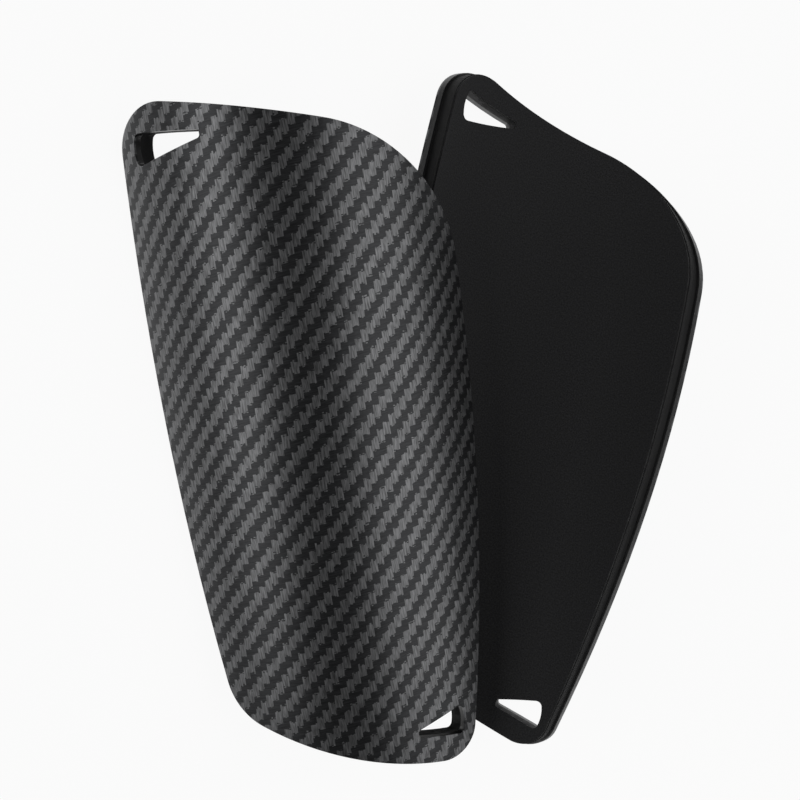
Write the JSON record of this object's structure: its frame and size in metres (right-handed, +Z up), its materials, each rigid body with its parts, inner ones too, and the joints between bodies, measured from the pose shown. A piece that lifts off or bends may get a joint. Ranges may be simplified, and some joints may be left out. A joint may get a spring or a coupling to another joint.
{
  "type": "shin guard",
  "caption": "Pair of curved carbon-look shin guards, one face up and one turned over, each a moulded twill shell with a bonded foam pad, knit lining and two slanted vent slots.",
  "frame": {"origin": "bottom centre of the pair's box, on the surface it lies on", "axes": "+X from the left guard to the right guard, +Y from the ankle ends to the knee ends, +Z up"},
  "size_m": [0.177, 0.2143, 0.0388],
  "materials": {
    "carbon_shell": "carbon twill laminate, clear satin-gloss coat",
    "bond_film": "adhesive sheet",
    "foam": "closed-cell foam, matt",
    "lining_knit": "fine knit"
  },
  "bodies": {
    "right_guard": {"right_shell": "carbon_shell", "right_bond_film": "bond_film", "right_foam_pad": "foam", "right_lining": "lining_knit"},
    "left_guard": {"left_shell": "carbon_shell", "left_bond_film": "bond_film", "left_foam_pad": "foam", "left_lining": "lining_knit"}
  },
  "joints": [
    {"name": "left_guard_lift", "type": "slide", "parent": "right_guard", "child": "left_guard", "axis": [0, 0, 1], "range_m": [0, 0.06]}
  ]
}
